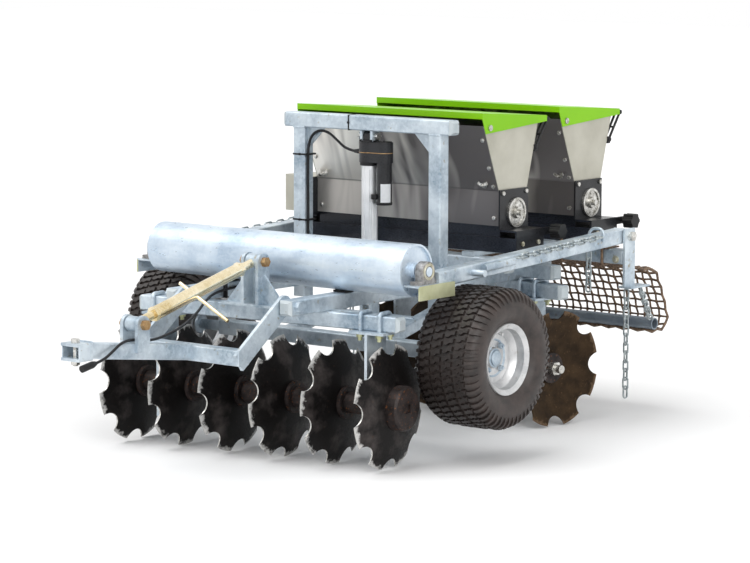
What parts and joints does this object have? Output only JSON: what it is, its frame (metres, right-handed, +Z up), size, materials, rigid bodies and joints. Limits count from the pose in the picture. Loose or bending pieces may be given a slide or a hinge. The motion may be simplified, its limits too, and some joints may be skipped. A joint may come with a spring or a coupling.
{
  "type": "seeder",
  "caption": "towed food plot seeder with notched disc gangs, electric wheel lift, two seed hoppers, over-centre soil roller and a chain drag mat",
  "frame": {"origin": "on the floor under the middle of the machine's footprint; the discs stand on the floor", "axes": "+Z up, -Y forward to the hitch, +X to the machine's left side; lengths run along Y"},
  "size_m": [1.49, 2.4921, 1.092],
  "materials": {
    "galvanised_steel": "hot-dip galvanised, spangled, faintly stained",
    "grey_plastic": "moulded grey tube caps",
    "disc_steel": "dark rolled steel with ground edges and light rust",
    "cast_iron": "dark casting with orange rust flecks",
    "zinc_hardware": "zinc plated, slightly yellow",
    "stainless_sheet": "brushed sheet",
    "green_paint": "bright green powder coat",
    "black_paint": "satin black paint",
    "black_plastic": "moulded black plastic",
    "black_housing": "black cast housing",
    "aluminium_tube": "extruded",
    "rusty_steel": "brown rust",
    "tyre_rubber": "turf tread, lightly dusty",
    "rim_paint": "silver wheel paint"
  },
  "bodies": {
    "chassis": {"actuator_housing": "black_housing", "actuator_pin": "zinc_hardware", "actuator_tube": "aluminium_tube", "adjuster_knobs": "black_plastic", "cable_plug": "black_plastic", "chassis_frame": "galvanised_steel", "control_box": "stainless_sheet", "drag_mat": "rusty_steel", "drag_pipe": "galvanised_steel", "drawbar": "galvanised_steel", "drawbar_bolts": "zinc_hardware", "flange_bearings": "zinc_hardware", "front_gang_beam": "galvanised_steel", "front_hangers": "galvanised_steel", "gang_u_bolts": "zinc_hardware", "hitch_pin": "zinc_hardware", "hopper_bases": "black_paint", "hopper_end_plates": "black_paint", "hopper_front": "stainless_sheet", "hopper_rear": "stainless_sheet", "hopper_stand": "galvanised_steel", "latches_front": "black_plastic", "latches_rear": "black_plastic", "lid_pins": "zinc_hardware", "lift_pivot_pins": "zinc_hardware", "link_mast": "galvanised_steel", "link_pins": "zinc_hardware", "mat_u_bolts": "rusty_steel", "portal": "galvanised_steel", "post_chains": "galvanised_steel", "rear_gang_beam": "galvanised_steel", "rear_hangers": "galvanised_steel", "rear_posts": "galvanised_steel", "roller_rests": "black_paint", "supply_cable": "black_plastic", "swing_pins": "zinc_hardware", "top_link_bar": "rusty_steel", "top_link_body": "zinc_hardware", "top_link_screws": "zinc_hardware", "tube_caps": "grey_plastic"},
    "front_gang": {"front_discs": "disc_steel", "front_spools": "cast_iron", "front_shaft": "cast_iron"},
    "rear_gang": {"rear_discs": "disc_steel", "rear_spools": "cast_iron", "rear_shaft": "cast_iron"},
    "wheel_lift": {"lift_frame": "galvanised_steel"},
    "wheel_left": {"tyre_left": "tyre_rubber", "rim_left": "rim_paint"},
    "wheel_right": {"tyre_right": "tyre_rubber", "rim_right": "rim_paint"},
    "actuator_rod": {"actuator_rod": "aluminium_tube"},
    "roller_swing": {"roller_arm_left": "galvanised_steel", "roller_arm_right": "galvanised_steel", "roller_bearings": "zinc_hardware", "arm_chains": "galvanised_steel"},
    "roller": {"roller": "galvanised_steel"},
    "lid_front": {"lid_front": "green_paint"},
    "lid_rear": {"lid_rear": "green_paint"}
  },
  "joints": [
    {"name": "front_gang_spin", "type": "hinge", "parent": "chassis", "child": "front_gang", "pos_m": [0.025, -0.353, 0.2], "axis": [0.9957, 0.0924, 0], "continuous": true},
    {"name": "rear_gang_spin", "type": "hinge", "parent": "chassis", "child": "rear_gang", "pos_m": [0.008, 0.749, 0.2], "axis": [0.9848, -0.1736, 0], "continuous": true},
    {"name": "wheel_lift_swing", "type": "hinge", "parent": "chassis", "child": "wheel_lift", "pos_m": [0, 0.42, 0.44], "axis": [1, 0, 0], "range_deg": [0, 28]},
    {"name": "wheel_left_spin", "type": "hinge", "parent": "wheel_lift", "child": "wheel_left", "pos_m": [0.625, 0, 0.338], "axis": [1, 0, 0], "continuous": true},
    {"name": "wheel_right_spin", "type": "hinge", "parent": "wheel_lift", "child": "wheel_right", "pos_m": [-0.625, 0, 0.338], "axis": [1, 0, 0], "continuous": true},
    {"name": "actuator_extend", "type": "slide", "parent": "chassis", "child": "actuator_rod", "axis": [0, 0, -1], "range_m": [0, 0.105]},
    {"name": "roller_swing_over", "type": "hinge", "parent": "chassis", "child": "roller_swing", "pos_m": [0, 0.866, 0.652], "axis": [-1, 0, 0], "range_deg": [0, 212]},
    {"name": "roller_spin", "type": "hinge", "parent": "roller_swing", "child": "roller", "pos_m": [0, -0.237, 0.631], "axis": [1, 0, 0], "continuous": true},
    {"name": "lid_front_open", "type": "hinge", "parent": "chassis", "child": "lid_front", "pos_m": [0, 0.338, 1.0415], "axis": [1, 0, 0], "range_deg": [0, 100]},
    {"name": "lid_rear_open", "type": "hinge", "parent": "chassis", "child": "lid_rear", "pos_m": [0, 0.78, 1.0415], "axis": [1, 0, 0], "range_deg": [0, 100]}
  ],
  "couplings": [
    {"joint": "actuator_extend", "follows": "wheel_lift_swing", "m_per_rad": 0.2114}
  ]
}
